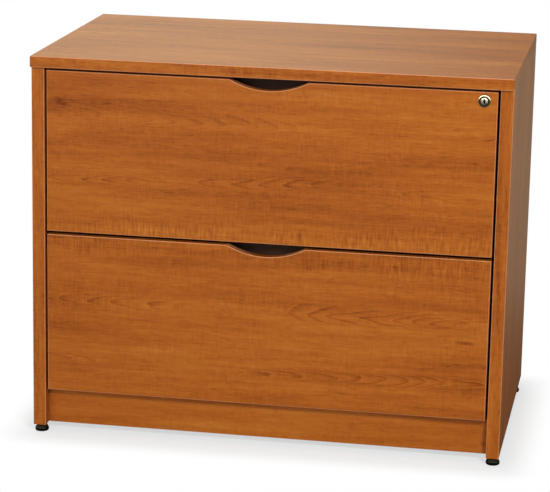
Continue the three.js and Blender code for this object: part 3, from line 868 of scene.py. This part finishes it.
# Lamps: a small key on the right, a broad fill on the left of the camera, a softbox overhead, and one behind.
# Only the overhead one shows in reflections, so that the others put no glare on the boards.
lamps = {
    "key": {"place": (1.67, -3.42, 2.22), "target": (0, -0.27, 0.4), "size": 0.5, "power": 91.0},
    "fill": {"place": (-1.3, -4.0, 1.2), "target": (0, -0.27, 0.4), "size": 2.2, "power": 52.0},
    "overhead": {"place": (-0.3, 0.2, 3.0), "target": (0, 0, 0.7), "size": 2.2, "power": 33.0},
    "rear": {"place": (-0.9, 4.0, 1.4), "target": (0, 0.28, 0.4), "size": 2.2, "power": 60.0},
}


def makeLamp(name):
    setting = lamps[name]
    data = bpy.data.lights.new(name, "AREA")
    data.size = setting["size"]
    data.energy = setting["power"]
    lamp = bpy.data.objects.new(name, data)
    scene.collection.objects.link(lamp)
    lamp.location = setting["place"]
    aim = Vector(setting["target"]) - Vector(setting["place"])
    lamp.rotation_euler = aim.to_track_quat("-Z", "Y").to_euler()
    lamp.visible_glossy = name == "overhead"


# Studio round the cabinet: white behind it, a dim even light on it, and surroundings that only reflections
# show. The limits lie along one axis of a ray's direction. The levels of brightness there follow them.
studio = {
    "room": 0.10,
    "roomTint": "#fff7d6",
    "backdrop": "#ffffff",
    "front": (-0.92, -0.35, 0.4, 1.0),
    "wallAcross": (-0.19, 0.01, 0.98, 0.13),
    "wallBack": (0.5, 0.85, 0.75),
    "lowSheen": (-0.3, 0.1, 0.12, 0.38),
    "horizon": (-0.03, 0.03),
    "underFloor": (-0.2, 0.3, 0.11, 0.03),
    "floorEdge": (-0.275, -0.255),
    "softboxAside": (0.3, 0.45, 0.0, 1.7),
    "softboxFoot": (0.12, 0.25),
    "highSoftbox": (0.35, 0.5, 0.0, 3.6),
    "softboxFront": (-0.1, -0.3),
}


def makeWorld():
    world = bpy.data.worlds.new("studio")
    scene.world = world
    world.use_nodes = True
    tree = world.node_tree
    tree.nodes.clear()
    ray = addNode(tree, "LightPath").outputs
    way = addNode(tree, "SeparateXYZ", [addNode(tree, "TexCoord").outputs["Generated"]]).outputs

    # Reflections meet a pale backdrop above the horizon, a dim room in front and a darker floor below
    front = addNode(tree, "MapRange", [way[1], *studio["front"]], **smooth)
    backWall = addNode(tree, "MapRange", [way[0], *studio["wallAcross"]], **smooth)
    wall = addNode(tree, "MapRange", [way[1], *studio["wallBack"], backWall], **smooth)
    low = addNode(tree, "MapRange", [way[1], *studio["lowSheen"]])
    above = addNode(tree, "MapRange", [way[2], *studio["horizon"], low, wall], **smooth)
    under = addNode(tree, "MapRange", [way[1], *studio["underFloor"]])
    below = addNode(tree, "MapRange", [way[2], *studio["floorEdge"], under, above], **smooth)
    mirrored = addNode(tree, "Math", [front, below], operation="MULTIPLY")

    # Softboxes at the left and right of the camera, and a brighter one high above it, show in bright metal
    aside = addNode(tree, "Math", [way[0]], operation="ABSOLUTE")
    pair = addNode(tree, "MapRange", [aside, *studio["softboxAside"]], **smooth)
    raised = addNode(tree, "MapRange", [way[2], *studio["softboxFoot"]], **smooth)
    pair = addNode(tree, "Math", [pair, raised], operation="MULTIPLY")
    high = addNode(tree, "MapRange", [way[2], *studio["highSoftbox"]], **smooth)
    boxes = addNode(tree, "Math", [pair, high], operation="MAXIMUM")
    forward = addNode(tree, "MapRange", [way[1], *studio["softboxFront"]], **smooth)
    mirrored = addNode(tree, "Math", [boxes, forward, mirrored], operation="MULTIPLY_ADD")

    glossy = addNode(tree, "Math", [ray["Is Glossy Ray"], ray["Is Transmission Ray"]], operation="MAXIMUM")
    strength = addNode(tree, "Mix", {0: glossy, 2: studio["room"], 3: mirrored})
    strength = addNode(tree, "Mix", {0: ray["Is Camera Ray"], 2: strength, 3: 1.0})
    tints = {6: colour(studio["roomTint"]), 7: colour(studio["backdrop"])}
    tint = addNode(tree, "Mix", {0: ray["Is Camera Ray"], **tints}, data_type="RGBA")
    background = addNode(tree, "Background", {"Color": tint, "Strength": strength})
    addNode(tree, "OutputWorld", {"Surface": background})


for name in lamps:
    makeLamp(name)
makeWorld()

# Floor: pale paint, a little cool against the warm light that the cabinet throws on it. Where the camera
# sees it, it keeps a soft shadow round the cabinet and runs out into white.
floor = {
    "reach": 8.0,
    "paint": "#d5dadc",
    "shadedPaint": "#a2aaad",
    "white": "#ffffff",
    "glow": 0.61,
    "shadowReach": 0.08,
}


def makeFloor():
    shape = bmesh.new()
    bmesh.ops.create_grid(shape, x_segments=2, y_segments=2, size=floor["reach"])
    mesh = bpy.data.meshes.new("floor")
    shape.to_mesh(mesh)
    shape.free()
    plane = bpy.data.objects.new("floor", mesh)
    scene.collection.objects.link(plane)
    plane.visible_glossy = False
    material = bpy.data.materials.new("paleFloor")
    material.use_nodes = True
    tree = material.node_tree
    tree.nodes.clear()
    ray = addNode(tree, "LightPath").outputs
    foot = addNode(tree, "VectorMath", [addNode(tree, "TexCoord").outputs["Object"]], operation="ABSOLUTE")
    foot = addNode(tree, "VectorMath", [foot, (cadBox[1].x, cadBox[1].y, 0)], operation="SUBTRACT")
    foot = addNode(tree, "VectorMath", [foot, (0, 0, 0)], operation="MAXIMUM")
    away = addNode(tree, "VectorMath", [foot], operation="LENGTH")
    near = addNode(tree, "MapRange", [away, floor["shadowReach"], 0.0], **smooth)
    paint = addNode(tree, "BsdfDiffuse", {"Color": colour(floor["paint"])})
    shade = addNode(tree, "BsdfDiffuse", {"Color": colour(floor["shadedPaint"])})
    white = addNode(tree, "Emission", {"Color": colour(floor["white"]), "Strength": 1.0})
    glow = addNode(tree, "Emission", {"Color": colour(floor["white"]), "Strength": floor["glow"]})
    shaded = addNode(tree, "AddShader", [glow, shade])
    lifted = addNode(tree, "MixShader", [near, white, shaded])
    seen = addNode(tree, "Math", [ray["Is Camera Ray"], ray["Is Glossy Ray"]], operation="MAXIMUM")
    seen = addNode(tree, "Math", [seen, ray["Is Transmission Ray"]], operation="MAXIMUM")
    mixed = addNode(tree, "MixShader", [seen, paint, lifted])
    addNode(tree, "OutputMaterial", {"Surface": mixed})
    mesh.materials.append(material)


makeFloor()
print("light and floor set")
